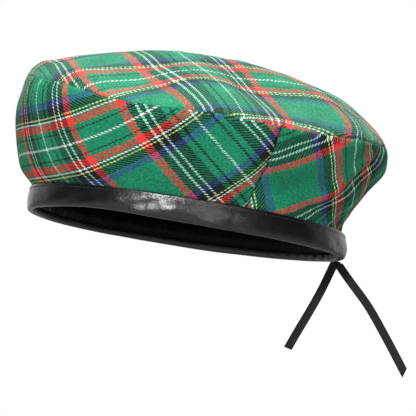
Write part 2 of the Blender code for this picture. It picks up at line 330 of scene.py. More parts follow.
# gentle waves, all of one width: their azimuths, then each place with its lifts in hundredths of a mm
WAVE_WIDE, WAVE_TALL = 15.0, 0.15
WAVE_UNIT = 1e-5
WAVE_AZIMUTHS = range(-15, 196, 15)
WAVES = (
    (0.12, (-14, 16, 29, 86, 49, 25, 14, 14, 54, 48, 20, -17, -12, 26, 5)),
    (0.27, (54, -68, -80, 70, 0, -6, 4, 67, 12, 4, 101, 111, -60, 41, 12)),
    (0.42, (76, -103, -54, 111, 23, -31, 0, 125, 88, -36, 28, 246, -51, 10, 16)),
    (0.57, (33, -41, -32, 68, 44, 16, 26, 106, 127, 129, -58, 16, 8, -9, 8)),
    (0.72, (-7, 9, 0, 59, 26, 19, 25, 20, 40, 180, -117, -172, 30, -6, 0)),
    (0.87, (-13, -8, 117, 126, -5, -31, -21, 7, -39, 23, -22, -61, 46, -26, 0)),
    (1.02, (25, -55, 111, 222, -84, 25, 44, 280, 93, 185, 413, -129, 63, -77, -4)),
    (1.17, (97, -88, 71, 231, -227, -6, 154, 158, -169, 57, 178, -111, 86, -71, -5)),
    (1.32, (14, -19, 24, 8, -184, 18, 115, -211, -347, -75, 43, 0, 0, -19, 0)),
    (1.47, (-8, 5, -7, -20, -96, -42, -19, -157, -126, -37, -7, -3, 0, 0, 0)),
    (1.62, (0, 0, 0, 14, -9, -47, -108, -159, -20, 13, 5, 0, 0, 0, 0)),
    (1.77, (0, 0, 0, -6, 11, 7, 34, 18, 18, -4, 0, 0, 0, 0, 0)),
)


NOISE_RING, NOISE_TALL = 0.11, 0.07


def fold_lift(azimuth, place):
    total = np.zeros(np.broadcast(azimuth, place).shape)
    for _, at, row, wide, tall, slant, lift in FOLDS:
        turn = turn_from(azimuth, at + slant * (place - row))
        total += lift * bell(turn, wide) * bell(place - row, tall)
    for row, lifts in WAVES:
        for at, lift in zip(WAVE_AZIMUTHS, lifts):
            total += lift * WAVE_UNIT * bell(turn_from(azimuth, at), WAVE_WIDE) * bell(place - row, WAVE_TALL)
    return total


def soft_noise(azimuth, place, scale, seed):
    # smooth noise over the crown, the same on every run: it is read on a tube of about the crown's size
    ring, tall = NOISE_RING * scale, NOISE_TALL * scale
    spots = [(ring * math.sin(math.radians(a)), ring * math.cos(math.radians(a))) for a in azimuth]
    return np.array([[noise.noise(Vector((x, y, p * tall + seed))) for x, y in spots] for p in place])


print("folds:", [row[0] for row in FOLDS])

# %% [markdown]
# The outside is built as rings that climb from the tucked edge inside the band, over the seam and up to
# the middle of the top. Each ring knows its place, so that a fold can find it. Next to the tie the band
# and the cloth in it lean inwards, as if the ribbon draws the neck of the hat in there.

# %% The whole outside as rings
LEAN_AZIMUTH, LEAN_WIDE, LEAN_DEPTH = 168.0, 24.0, 0.0017


def rim_lean(azimuth):
    return LEAN_DEPTH * bell(turn_from(azimuth, LEAN_AZIMUTH), LEAN_WIDE)


def crown_rings(azimuth, side_steps, top_shares):
    # radius and height of every ring, from the tucked edge to the middle of the top
    table, rim = sections_at(azimuth), rim_radius(azimuth)
    dip = table[0] * REACH
    foot = rim - LEAF_GAP
    out = np.array([foot - rim_lean(azimuth)] + [rim + table[k] * REACH for k in (1, 3, 5, 7)])
    up = np.array([BAND_HEIGHT + dip] + [table[k] * REACH for k in (2, 4, 6, 8)])
    steps = np.linspace(0, 4, side_steps)
    side_r = np.vstack([foot, hermite(range(5), out, steps)])
    side_z = np.vstack([TUCK + dip, hermite(range(5), up, steps)])
    knots = [0.0] + [1 - s for s in TOP_SHARES] + [1.0]
    climbs = np.vstack([np.zeros(len(azimuth)), table[9:14], np.ones(len(azimuth))])
    shares = np.asarray(top_shares, float)
    top_r = out[4] * shares[:, None]
    top_z = up[4] + (CROWN_HEIGHT - up[4]) * hermite(knots, climbs, 1 - shares)
    radius, height = np.vstack([side_r, top_r[1:]]), np.vstack([side_z, top_z[1:]])
    place = np.concatenate([[0.0], steps / 4, 2 - shares[1:]])
    return radius, height, place, len(side_r)


def push_in(radius, height, depth):
    # move each ring's points square to the section, towards the inside
    dr, dz = np.gradient(radius, axis=0), np.gradient(height, axis=0)
    size = np.maximum(np.hypot(dr, dz), 1e-9)
    return radius - dz / size * depth, height + dr / size * depth


radius, height, place, seam_row = crown_rings(np.arange(0.0, 360.0, 45.0), 33, np.linspace(1, 0, 30))
print("largest radius in mm:", round(1000 * radius.max(), 1), "seam ring:", seam_row)

# %% [markdown]
# Each panel was cut flat and then sewn, and a tartan pattern follows the flat cut, not the worn shape.
# So each panel gets a map of its own flat pattern, in metres. The round top is laid flat by the length
# of cloth from its middle, and a side panel is a piece of a ring, laid flat from its top seam.
# A second map counts the repeats of the tartan both ways. Handling and sewing pull a loose cloth off its
# square grid, so the counts shift a little from place to place. These shifts come from the same fit to
# the traced stripes as the waves do, and where no stripe shows the grid stays straight.

# %% Lay the panels flat
SIDE_UNROLL = 0.525
SIDE_FLAT_RADIUS = 0.234


def flat_top(azimuth, length_from_middle):
    angle = np.radians(azimuth)
    return np.stack([length_from_middle * np.sin(angle), -length_from_middle * np.cos(angle)], -1)


def flat_side(azimuth, length_from_seam, middle):
    return flat_top((azimuth - middle) * SIDE_UNROLL, SIDE_FLAT_RADIUS - length_from_seam)


def lengths_along(radius, height):
    step = np.hypot(np.diff(radius, axis=0), np.diff(height, axis=0))
    return np.vstack([np.zeros(radius.shape[1]), np.cumsum(step, axis=0)])


# %% [markdown]
# The tartan of each panel lies at its own angle, because the panels were cut from the cloth separately.

# %% Where the yarns lie on each panel
REPEAT = 0.086
# for each panel: turn of the first yarns in degrees, hand of the second, and both starting counts
YARNS = {
    "top": (12.0, 1, -0.594, 0.345),
    "front": (81.0, -1, 2.059, -0.887),
    "back": (294.0, 1, -1.702, 1.445),
}
# where the cloth is pulled: x and y on the flat pattern in mm, then the shift of both counts in
# thousandths of a repeat, each fading with the reach given first
PULLS = {
    "top": (0.040, (
        (0, -105, 26, 13), (0, -70, 10, -2), (0, -35, -9, 6), (0, 105, 0, -2), (35, -140, 29, 33),
        (35, -105, 51, 69), (35, -70, -6, 19), (35, -35, -35, 13), (35, 0, -41, 20), (35, 35, -24, -15),
        (35, 70, 0, -42), (70, -105, 10, 136), (70, -70, -31, 62), (70, -35, -24, 2), (70, 0, -28, 5),
        (70, 35, -24, -32), (70, 70, -6, -134), (70, 105, 19, -96), (105, -105, 1, 68), (105, -70, 9, 50),
        (105, -35, 13, 10), (105, 0, 5, -7), (105, 35, 12, -6), (105, 70, -17, -109), (105, 105, 4, -92),
        (140, -35, 4, 8), (140, 0, -6, -10), (140, 35, 14, 4),
    )),
    "front": (0.044, (
        (0, -240, 14, 14), (0, -200, 30, 8), (0, -160, 17, 8), (40, -240, -4, 43), (40, -200, -4, 79),
        (40, -160, 19, 61), (80, -240, -4, 17), (80, -200, 14, 32), (80, -160, 43, 44),
        (120, -200, -14, -47), (120, -160, 7, 5), (120, -120, -11, 11), (160, -200, -18, -25),
        (160, -160, -25, -50), (160, -120, -55, -43), (200, -160, -12, -64), (200, -120, -27, -52),
    )),
    "back": (0.040, (
        (-140, -210, 10, 35), (-140, -175, 24, 48), (-140, -140, 35, 15), (-105, -210, -10, 25),
        (-105, -175, -44, 3), (-105, -140, -8, -8), (-70, -245, 33, 6), (-70, -210, 11, -15),
        (-70, -175, -53, -57), (-70, -140, -19, -24), (-35, -210, 0, -26), (-35, -175, -26, -43),
    )),
}


def yarn_count(panel, flat):
    # how many repeats have gone by, along both sets of yarns, at each place of the flat pattern
    turn, hand, first, second = YARNS[panel]
    angle = math.radians(turn)
    x, y = flat[..., 0], flat[..., 1]
    count_a = first + (x * math.cos(angle) + y * math.sin(angle)) / REPEAT
    count_b = second + hand * (y * math.cos(angle) - x * math.sin(angle)) / REPEAT
    reach, pulls = PULLS[panel]
    for at_x, at_y, shift_a, shift_b in pulls:
        near = bell(np.hypot(x - at_x / 1000, y - at_y / 1000), reach)
        count_a, count_b = count_a + near * shift_a / 1000, count_b + near * shift_b / 1000
    return np.stack([count_a, count_b], -1)


print("panels:", list(YARNS), "one repeat is", 1000 * REPEAT, "mm")

# %% [markdown]
# A panel is a grid of points, round the hat and up it. Its edges turn in by about a millimetre where
# the seam pulls them, and the side cloth is eased into the band in shallow gathers.

# %% The skin of the crown
CLOTH = 0.0012
AROUND = 400
SIDE_STEPS = 45
SEAM_DEPTH, UPRIGHT_SEAM_DEPTH, SEAM_REACH = 0.0010, 0.0011, 0.0022
PUCKER_DEPTH, PUCKER_REACH = 0.0005, 0.011
BRUSHED_DEPTH = 0.0007
GATHER_DEPTH, GATHER_REACH = 0.0009, 0.022
SEAM_CLEAR = 0.12
TOP_SHARES_FINE = np.concatenate([np.linspace(1.0, 0.90, 9), np.linspace(0.885, 0.0, 38)])


def skin(azimuth):
    radius, height, place, seam = crown_rings(azimuth, SIDE_STEPS, TOP_SHARES_FINE)
    run = lengths_along(radius, height)
    from_seam = np.abs(run - run[seam - 1])
    near_band = np.clip(1 - (run - run[1]) / GATHER_REACH, 0, 1) * (place[:, None] < 1)
    lift = fold_lift(azimuth[None, :], place[:, None])
    lift -= SEAM_DEPTH * bell(from_seam, SEAM_REACH)
    lift += PUCKER_DEPTH * soft_noise(azimuth, place, 320, 3.0) * bell(from_seam, PUCKER_REACH)
    lift += BRUSHED_DEPTH * soft_noise(azimuth, place, 60, 11.0)
    lift += GATHER_DEPTH * soft_noise(azimuth, place * 0.3, 260, 7.0) * near_band ** 1.5
    lift[0] = 0.0
    lift[place < 0.02] *= 0.3
    lift[-1] = 0.0
    radius, height = push_in(radius, height, -lift)
    radius[-1] = 0.0
    return radius, height, place, seam, run


def ring_points(azimuth, radius, height):
    angle = np.radians(azimuth)
    return np.stack([radius * np.sin(angle), -radius * np.cos(angle), height], -1)


def grid_faces(rows, columns, wrap):
    faces = []
    for j in range(rows - 1):
        for k in range(columns if wrap else columns - 1):
            a, b = j * columns + k, j * columns + (k + 1) % columns
            faces.append((a, b, b + columns, a + columns))
    return faces


def dome_faces(rows, columns):
    # rings closed round the hat, and a fan from the last of them to the point in the middle
    last, middle = (rows - 1) * columns, rows * columns
    fan = [(last + k, last + (k + 1) % columns, middle) for k in range(columns)]
    return grid_faces(rows, columns, True) + fan


print("points round the hat:", AROUND, "up its side:", SIDE_STEPS)

# %% [markdown]
# The crown is cut into its panels along the top seam and the two side seams. The grid is only the outside
# skin: a Solidify modifier gives it the cloth's thickness inwards. A real panel could be simulated as
# sewn cloth, but then its stripes wouldn't end up where they are wanted.

# %% Build the three panels
def seam_dip(azimuth, ends):
    # how far a side panel's skin turns in beside its two upright seams
    gap = np.radians(np.minimum(azimuth - ends[0], ends[1] - azimuth)) * REACH
    return UPRIGHT_SEAM_DEPTH * bell(gap, SEAM_REACH)


def make_top_panel():
    azimuth = np.arange(AROUND) * 360.0 / AROUND
    radius, height, place, seam, run = skin(azimuth)
    radius, height, run = radius[seam - 1:], height[seam - 1:], run[seam - 1:]
    points = ring_points(azimuth, radius, height)
    flat = flat_top(azimuth, run[-1] - run)
    faces = dome_faces(len(points) - 1, AROUND)
    flat = np.vstack([flat[:-1].reshape(-1, 2), [[0.0, 0.0]]])
    points = np.vstack([points[:-1].reshape(-1, 3), [[0.0, 0.0, CROWN_HEIGHT]]])
    return new_piece("crown_top_cloth", points, faces,
                     maps=[("flat_map", flat), ("yarn_map", yarn_count("top", flat))])


def make_side_panel(name, panel, first, last, middle):
    azimuth = np.linspace(first + SEAM_CLEAR, last - SEAM_CLEAR, round(AROUND * (last - first) / 360.0) + 1)
    radius, height, place, seam, run = skin(azimuth)
    radius, height, run = radius[:seam], height[:seam], run[:seam]
    dip = np.broadcast_to(seam_dip(azimuth, (first, last)), radius.shape).copy()
    dip[0] = 0.0
    radius, height = push_in(radius, height, dip)
    points = ring_points(azimuth, radius, height).reshape(-1, 3)
    flat = flat_side(azimuth, run[-1] - run, middle).reshape(-1, 2)
    return new_piece(name, points, grid_faces(seam, len(azimuth), False),
                     maps=[("flat_map", flat), ("yarn_map", yarn_count(panel, flat))])


def thicken(piece, thickness):
    wall = piece.modifiers.new("cloth thickness", "SOLIDIFY")
    wall.thickness, wall.offset, wall.use_even_offset = thickness, -1.0, False
    return piece


top_panel = thicken(make_top_panel(), CLOTH)
front_panel = thicken(make_side_panel("side_front_cloth", "front", -SIDE_SEAM, SIDE_SEAM, 0.0), CLOTH)
back_panel = thicken(make_side_panel("side_back_cloth", "back", SIDE_SEAM, 360 - SIDE_SEAM, 180.0), CLOTH)


def cut_area(piece):
    return sum(face.area for face in piece.data.polygons)


for piece, node, flat in ((top_panel, "crown_top", (0.250, 0.250)),
                          (front_panel, "side_front", (0.400, 0.180)),
                          (back_panel, "side_back", (0.340, 0.160))):
    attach(piece, "root")
    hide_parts(node)
    print(node, "cloth area in square cm:", round(10000 * cut_area(piece)))

# %% [markdown]
# The band is one strip of soft black leather folded round the raw edge of the cloth: an outer leaf,
# a rounded fold at the bottom and a short turn on the inside. Leather folded round a curve bunches,
# so the fold is a little uneven and near the tie it gathers into fine pleats.
# On this hat the fold also rises a little at two places, as if the strip was sewn on narrower there.
# A closed section swept round the rim gives all of that in one piece.

# %% The folded leather band
BAND_OUTLINE = ((0.00, 1.00), (0.10, 0.985), (0.17, 0.93), (0.22, 0.78), (0.30, 0.62), (0.32, 0.48),
                (0.30, 0.32), (0.22, 0.18), (0.10, 0.085), (-0.04, 0.03), (-0.26, 0.004), (-0.50, 0.00),
                (-0.74, 0.02), (-0.92, 0.07), (-1.00, 0.17), (-1.00, 0.32), (-0.87, 0.345),
                (-0.737, 0.32), (-0.737, 0.16), (-0.50, 0.085), (-0.263, 0.15), (-0.263, 0.60),
                (-0.263, 1.00))
# soft dents along the strip: azimuth, width in degrees, depth in metres, slant over the strip's height
BAND_DENTS = (
    (33, 5, 0.0005, 14), (46, 4, -0.0003, -10), (58, 6, 0.0007, 22),
    (70, 4, -0.0003, 8), (84, 7, 0.0006, -16), (112, 9, 0.0004, 12),
    (150, 5, 0.0006, -12), (205, 6, 0.0005, 9), (240, 8, 0.0005, 15),
    (275, 6, 0.0005, -14), (312, 8, 0.0005, 10), (345, 5, 0.0004, -8),
)
# where the fold rises: azimuth, width in degrees, height in metres
RIM_RISES = ((36.0, 24.0, 0.0019), (285.0, 42.0, 0.0022))
GATHER_WIDE = 26.0
STITCH_UP = 0.885
STRIP_ROUND = 0.576


def rim_raise(azimuth):
    return sum(height * bell(turn_from(azimuth, at), wide) for at, wide, height in RIM_RISES)


def dent_depth(azimuth, up):
    total = sum(deep * bell(turn_from(azimuth, at + slant * (up - 0.5)), wide)
                for at, wide, deep, slant in BAND_DENTS)
    return float(total * bell(up - 0.45, 0.33))


print("dents:", len(BAND_DENTS), "rises:", len(RIM_RISES))

# %% [markdown]
# The section is pushed in and out as it goes round, by creases, dents, a groove under the stitches and
# the gathers beside the tie. Leather does this because it bends both round the edge and round the head.

# %% Sweep the leather round the rim
def leather_push(azimuth, gather, out, up):
    # how far the leather moves outwards here, and how far the fold wavers up and down
    angle = math.radians(azimuth)
    p = Vector((math.sin(angle) * REACH, math.cos(angle) * REACH, up * BAND_HEIGHT))
    low = max(0.0, 1.0 - up / 0.9)
    crease = 0.00012 * noise.noise(p * 210.0) + 0.00045 * noise.noise(p * 60.0 + Vector((5, 0, 0)))
    crease += gather * low * 0.00030 * math.sin(azimuth * 3.3 + 2.0 * noise.noise(p * 90))
    crease -= dent_depth(azimuth, up)
    groove = -0.00022 * bell(up - STITCH_UP, 0.035) if out > 0 else 0.0
    push = (crease * min(1.0, 4.0 * (1.0 - up) + 0.25) + groove) if out > -0.2 else 0.5 * crease * low
    if out < -0.5:
        # the short turn on the inside gathers beside the tie
        ripple = math.sin(azimuth * 1.3 + 1.5 * noise.noise(p * 60))
        push += gather * (0.0012 * ripple - 0.0008) * min(1.0, up * 5)
    push -= float(rim_lean(azimuth)) * max(0.0, up - 0.4) / 0.6
    return push, 0.00025 * low * noise.noise(p * 45)


def band_ring(azimuth, dip):
    outline = np.array(BAND_OUTLINE)
    fine = hermite(range(len(outline)), outline, np.arange(0, len(outline) - 1 + 1e-9, 0.5))
    rim, rise = float(rim_radius(azimuth)), float(rim_raise(azimuth))
    gather = float(bell(turn_from(azimuth, TIE_AZIMUTH), GATHER_WIDE))
    points = []
    for out, up in fine:
        push, waver = leather_push(azimuth, gather, out, up)
        points.append((rim + out * BAND_THICKNESS + push,
                       up * BAND_HEIGHT + dip + (1.0 - up) * rise + waver))
    return points


def make_band():
    count = 600
    azimuth = np.arange(count) * 360.0 / count
    dips = sections_at(azimuth)[0] * REACH
    rings = np.array([band_ring(a, d) for a, d in zip(azimuth, dips)])
    points = ring_points(azimuth[:, None], rings[..., 0], rings[..., 1])
    size = rings.shape[1]
    around = azimuth / 360.0 * STRIP_ROUND
    section = np.concatenate([[0], np.cumsum(np.hypot(*np.diff(rings[0], axis=0).T))])
    flat = [(around[k], section[j]) for k in range(count) for j in range(size)]
    faces = [(k * size + j, ((k + 1) % count) * size + j, ((k + 1) % count) * size + (j + 1) % size,
              k * size + (j + 1) % size) for k in range(count) for j in range(size)]
    piece = new_piece("band_leather_strip", points.reshape(-1, 3), faces, maps=[("strip_map", flat)])
    close_outward(piece)
    return piece


band = make_band()
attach(band, "root")
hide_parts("band")
print("band faces:", len(band.data.polygons))

# %% [markdown]
# The lining is a thin smooth bag that hides the seams. It is cut a little larger than the crown, so it
# falls into soft pleats where it is sewn to the band. Seen from below it is most of what shows.
# It follows the inside of the cloth, a hair away from it, and its pleats fade out upwards.

# %% The pleated lining
LINING = 0.0006
LINING_GAP = 0.0015
LINING_FOOT = 0.32
PLEAT_DEPTH = 0.0028


def make_lining():
    count = 420
    azimuth = np.arange(count) * 360.0 / count
    radius, height, place, seam = crown_rings(azimuth, 25, np.linspace(1, 0, 26))
    radius[0] = radius[1]
    dip = sections_at(azimuth)[0] * REACH
    height[0] = LINING_FOOT * BAND_HEIGHT + 0.0003 + dip + (1.0 - LINING_FOOT) * rim_raise(azimuth)
    middle_row = (height[0] + height[1]) / 2
    radius, height = np.insert(radius, 1, radius[0], 0), np.insert(height, 1, middle_row, 0)
    place = np.insert(place, 1, 0.0)
    run = lengths_along(radius, height)
    lift = fold_lift(azimuth[None, :], place[:, None]) * (place[:, None] > 0)
    lift[-1] = 0.0
    pleat = soft_noise(azimuth, place * 0.25, 520, 21.0)
    ease = np.clip(run / 0.004, 0, 1) * np.exp(-run / 0.045)
    depth = CLOTH + LINING_GAP - lift + 0.0009 * (place[:, None] > 1.0)
    depth = depth + PLEAT_DEPTH * ease * np.clip(pleat + 0.35, 0, 1)
    radius, height = push_in(radius, height, depth)
    radius[-1] = 0.0
    points = ring_points(azimuth, radius, height)
    faces = dome_faces(len(points) - 1, count)
    flat = flat_top(azimuth, run[-1] - run)[:-1].reshape(-1, 2)
    points = np.vstack([points[:-1].reshape(-1, 3), points[-1].mean(axis=0)[None]])
    piece = new_piece("lining_cloth", points, faces, maps=[("flat_map", np.vstack([flat, [[0, 0]]]))])
    return thicken(piece, LINING)


lining = make_lining()
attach(lining, "root")
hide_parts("lining")
print("lining area in square cm:", round(10000 * cut_area(lining)))

# %% [markdown]
# A row of topstitching holds the band to the cloth just under its top edge. Stitches repeat along a
# path, so Geometry Nodes lay them: the path is resampled at the stitch spacing and one small stretched
# ball is set at every point, turned along the path. They are then realised, because only real faces export.

# %% A tree that lays stitches along a path
STITCH_SIDES, STITCH_RINGS = 8, 6


def put(node, **values):
    # set a node's inputs by name, where an underscore stands for a space
    for label, value in values.items():
        node.inputs[label.replace("_", " ")].default_value = value


def stitch_tree():
    tree = bpy.data.node_groups.new("stitches_along_path", "GeometryNodeTree")
    face = tree.interface
    face.new_socket("Geometry", in_out="INPUT", socket_type="NodeSocketGeometry")
    for label, size in (("Spacing", 0.0026), ("Stitch Length", 0.0020), ("Stitch Width", 0.00045)):
        face.new_socket(label, in_out="INPUT", socket_type="NodeSocketFloat").default_value = size
    face.new_socket("Thread", in_out="INPUT", socket_type="NodeSocketMaterial")
    face.new_socket("Geometry", in_out="OUTPUT", socket_type="NodeSocketGeometry")
    add = tree.nodes.new
    start, end = add("NodeGroupInput"), add("NodeGroupOutput")
    line, even = add("GeometryNodeMeshToCurve"), add("GeometryNodeResampleCurve")
    even.mode = "LENGTH"
    ball, scale = add("GeometryNodeMeshUVSphere"), add("ShaderNodeCombineXYZ")
    put(ball, Segments=STITCH_SIDES, Rings=STITCH_RINGS, Radius=0.5)
    tangent, turn = add("GeometryNodeInputTangent"), add("FunctionNodeAlignEulerToVector")
    turn.axis = "X"
    lay, real = add("GeometryNodeInstanceOnPoints"), add("GeometryNodeRealizeInstances")
    paint = add("GeometryNodeSetMaterial")
    for source, leaving, target, entering in (
            (start, "Geometry", line, "Mesh"), (line, "Curve", even, "Curve"),
            (start, "Spacing", even, "Length"), (even, "Curve", lay, "Points"),
            (ball, "Mesh", lay, "Instance"), (tangent, "Tangent", turn, "Vector"),
            (turn, "Rotation", lay, "Rotation"), (start, "Stitch Length", scale, "X"),
            (start, "Stitch Width", scale, "Y"), (start, "Stitch Width", scale, "Z"),
            (scale, "Vector", lay, "Scale"), (lay, "Instances", real, "Geometry"),
            (real, "Geometry", paint, "Geometry"), (start, "Thread", paint, "Material"),
            (paint, "Geometry", end, "Geometry")):
        tree.links.new(source.outputs[leaving], target.inputs[entering])
    return tree


def run_tree(piece, tree, **values):
    # set each named input by its identifier, then keep the result as a plain mesh
    step = piece.modifiers.new("laid by nodes", "NODES")
    step.node_group = tree
    for socket in tree.interface.items_tree:
        label = socket.name.replace(" ", "_").lower()
        if socket.in_out == "INPUT" and label in values:
            step[socket.identifier] = values[label]
    result = piece.evaluated_get(bpy.context.evaluated_depsgraph_get())
    mesh = bpy.data.meshes.new_from_object(result)
    piece.modifiers.remove(step)
    piece.data = mesh
    mesh.shade_smooth()
    return piece


# %% [markdown]
# Every finish is a small network of nodes. The same few steps come back in each: arithmetic, a smooth
# noise, a range spread onto another, two colours mixed, and a height turned into fine relief.
# A helper for each keeps the finishes short.

# %% Finishes: small helpers for node materials
def finish_nodes(name, colour, roughness):
    material = bpy.data.materials.new(name)
    material.use_nodes = True
    shader = material.node_tree.nodes["Principled BSDF"]
    put(shader, Base_Color=(*colour, 1.0), Roughness=roughness)
    return material, material.node_tree, shader


def maths(tree, operation, *values):
    node = tree.nodes.new("ShaderNodeMath")
    node.operation = operation
    for k, value in enumerate(values):
        if isinstance(value, (int, float)):
            node.inputs[k].default_value = value
        else:
            tree.links.new(value, node.inputs[k])
    return node.outputs[0]


def map_at(tree, name):
    node = tree.nodes.new("ShaderNodeUVMap")
    node.uv_map = name
    return node.outputs["UV"]


def noise_at(tree, vector, scale, detail=2.0, rough=0.5):
    node = tree.nodes.new("ShaderNodeTexNoise")
    put(node, Scale=scale, Detail=detail, Roughness=rough)
    tree.links.new(vector, node.inputs["Vector"])
    return node.outputs["Fac"]


def spread(tree, value, low, high, to_low, to_high):
    node = tree.nodes.new("ShaderNodeMapRange")
    node.interpolation_type = "SMOOTHSTEP"
    tree.links.new(value, node.inputs["Value"])
    put(node, From_Min=low, From_Max=high, To_Min=to_low, To_Max=to_high)
    return node.outputs["Result"]


def mix_colour(tree, factor, first, second, blend="MIX"):
    node = tree.nodes.new("ShaderNodeMix")
    node.data_type, node.blend_type = "RGBA", blend
    for socket, value in ((node.inputs[0], factor), (node.inputs[6], first), (node.inputs[7], second)):
        if isinstance(value, (int, float)):
            socket.default_value = value
        elif isinstance(value, tuple):
            socket.default_value = (*value, 1.0)
        else:
            tree.links.new(value, socket)
    return node.outputs[2]


def bump_on(tree, shader, height, strength, distance):
    node = tree.nodes.new("ShaderNodeBump")
    put(node, Strength=strength, Distance=distance)
    tree.links.new(height, node.inputs["Height"])
    tree.links.new(node.outputs["Normal"], shader.inputs["Normal"])


print("helpers ready")

# %% [markdown]
# Tartan is a plain 2/2 twill of coloured threads in a set order, and each crossing shows one thread for
# two steps and then the other. Where both threads share a colour the square is solid, elsewhere the two
# colours mix along fine diagonal lines. A thread also shades the one that dives under it, so a mixed
# square is darker than an even mix. An order is a list of widths, read out and back, so the pattern
# mirrors at its two pivots. On this hat the stripes differ between the two ways, so there are two lists,
# both read from the stripes that show.

# %% The order of threads
GREEN, BLACK, RED = (0.008, 0.200, 0.098), (0.006, 0.007, 0.008), (0.84, 0.032, 0.034)
BLUE, YELLOW, WHITE = (0.036, 0.066, 0.26), (0.88, 0.86, 0.22), (0.88, 0.95, 0.88)
SOFT_WHITE = (0.56, 0.74, 0.64)
# where each colour starts, as a share of the way from the white pivot to the wide green pivot
FIRST_SETT = (
    (0.0, WHITE), (0.012, GREEN), (0.165, BLACK), (0.190, GREEN), (0.245, RED), (0.352, BLACK),
    (0.366, WHITE), (0.393, BLACK), (0.422, YELLOW), (0.445, BLACK), (0.570, BLUE), (0.666, GREEN),
)
SECOND_SETT = (
    (0.0, SOFT_WHITE), (0.013, GREEN), (0.165, BLACK), (0.200, GREEN), (0.270, BLACK),
    (0.400, SOFT_WHITE), (0.428, BLACK), (0.492, SOFT_WHITE), (0.520, BLACK), (0.612, RED),
    (0.708, GREEN),
)
# diagonal lines of the twill in one repeat, and how much a diving thread is shaded
THREADS = 42.0
DIVE_SHADE = 0.28


def thread_ramp(tree, count, sett):
    # pingpong turns the running count into a distance from the pivot, and a stepped ramp colours it
    folded = maths(tree, "MULTIPLY", maths(tree, "PINGPONG", count, 0.5), 2.0)
    ramp = tree.nodes.new("ShaderNodeValToRGB")
    ramp.color_ramp.interpolation = "CONSTANT"
    for k, (start, colour) in enumerate(sett):
        stop = ramp.color_ramp.elements[k] if k < 2 else ramp.color_ramp.elements.new(start)
        stop.position, stop.color = start, (*colour, 1.0)
    tree.links.new(folded, ramp.inputs["Fac"])
    return ramp.outputs["Color"]


print("stripes in half a repeat:", len(FIRST_SETT), len(SECOND_SETT))

# %% [markdown]
# The finish colours both sets of threads by their counts and mixes the two along the twill's diagonals.
# Ragged noise breaks up the diagonals, as wool threads are never even. Brushing adds pale hairs and
# soft darker and lighter patches, and a faint sheen at the edges.

# %% The tartan finish
def tartan_cloth(name, hand, painted_light, sheen):
    material, tree, shader = finish_nodes(name, GREEN, 0.92)
    plan = map_at(tree, "flat_map")
    split = tree.nodes.new("ShaderNodeSeparateXYZ")
    tree.links.new(map_at(tree, "yarn_map"), split.inputs["Vector"])
    unsteady = maths(tree, "SUBTRACT", noise_at(tree, plan, 420), 0.5)
    wave = maths(tree, "MULTIPLY", unsteady, 0.006)
    first = maths(tree, "ADD", split.outputs["X"], wave)
    second = maths(tree, "SUBTRACT", split.outputs["Y"], wave)
    warp = thread_ramp(tree, first, FIRST_SETT)
    weft = thread_ramp(tree, second, SECOND_SETT)
    across = maths(tree, "ADD" if hand > 0 else "SUBTRACT", first, second)
    diagonal = maths(tree, "MULTIPLY", across, THREADS)
    twill = maths(tree, "MULTIPLY", maths(tree, "PINGPONG", diagonal, 0.5), 2.0)
    uneven = maths(tree, "SUBTRACT", noise_at(tree, plan, 700), 0.5)
    ragged = maths(tree, "MULTIPLY", uneven, 0.9)
    over = spread(tree, maths(tree, "ADD", twill, ragged), 0.36, 0.64, 0.03, 0.97)
    cloth = mix_colour(tree, over, warp, weft)
    darker = mix_colour(tree, 1.0, warp, weft, "DARKEN")
    cloth = mix_colour(tree, DIVE_SHADE, cloth, darker)
    fuzz = noise_at(tree, plan, 1500, 3.0, 0.7)
    # pale hairs of the brushed surface, and painted light, an even pale mix that makes the top look lit from
    # above
    hair = spread(tree, fuzz, 0.35, 0.75, 0.0, 0.10)
    cloth = mix_colour(tree, hair, cloth, (0.14, 0.30, 0.21))
    # painted light: the cloth is mixed towards pale green by this share, only on the top panel
    cloth = mix_colour(tree, painted_light, cloth, (0.16, 0.42, 0.28))
    patch = spread(tree, noise_at(tree, plan, 45, 3.0), 0.3, 0.7, 0.86, 1.10)
    fluff = spread(tree, noise_at(tree, plan, 620, 2.0), 0.3, 0.7, 0.72, 1.26)
    shade = maths(tree, "MULTIPLY", patch, fluff)
    tree.links.new(mix_colour(tree, 1.0, cloth, shade, "MULTIPLY"), shader.inputs["Base Color"])
    height = maths(tree, "ADD", maths(tree, "MULTIPLY", twill, 0.5), fuzz)
    bump_on(tree, shader, height, 0.5, 0.0005)
    put(shader, Sheen_Weight=sheen, Sheen_Roughness=0.5, Sheen_Tint=(0.75, 0.95, 0.85, 1.0),
        Specular_IOR_Level=0.10)
    return material


# only the top panel gets painted light, as the lamp is above it
for piece, panel, painted_light, sheen in ((top_panel, "top", 0.07, 0.12), (front_panel, "front", 0.0, 0.03),
                                  (back_panel, "back", 0.0, 0.03)):
    finish = tartan_cloth(piece.name.replace("cloth", "tartan"), YARNS[panel][1], painted_light, sheen)
    piece.data.materials.append(finish)
print("tartan finishes:", len(bpy.data.materials))

# %% [markdown]
# The band is smooth glove leather: nearly black, with faint darker and lighter patches and a fine grain
# that only shows in the highlights. Its shine is uneven, since handling polishes parts of it.

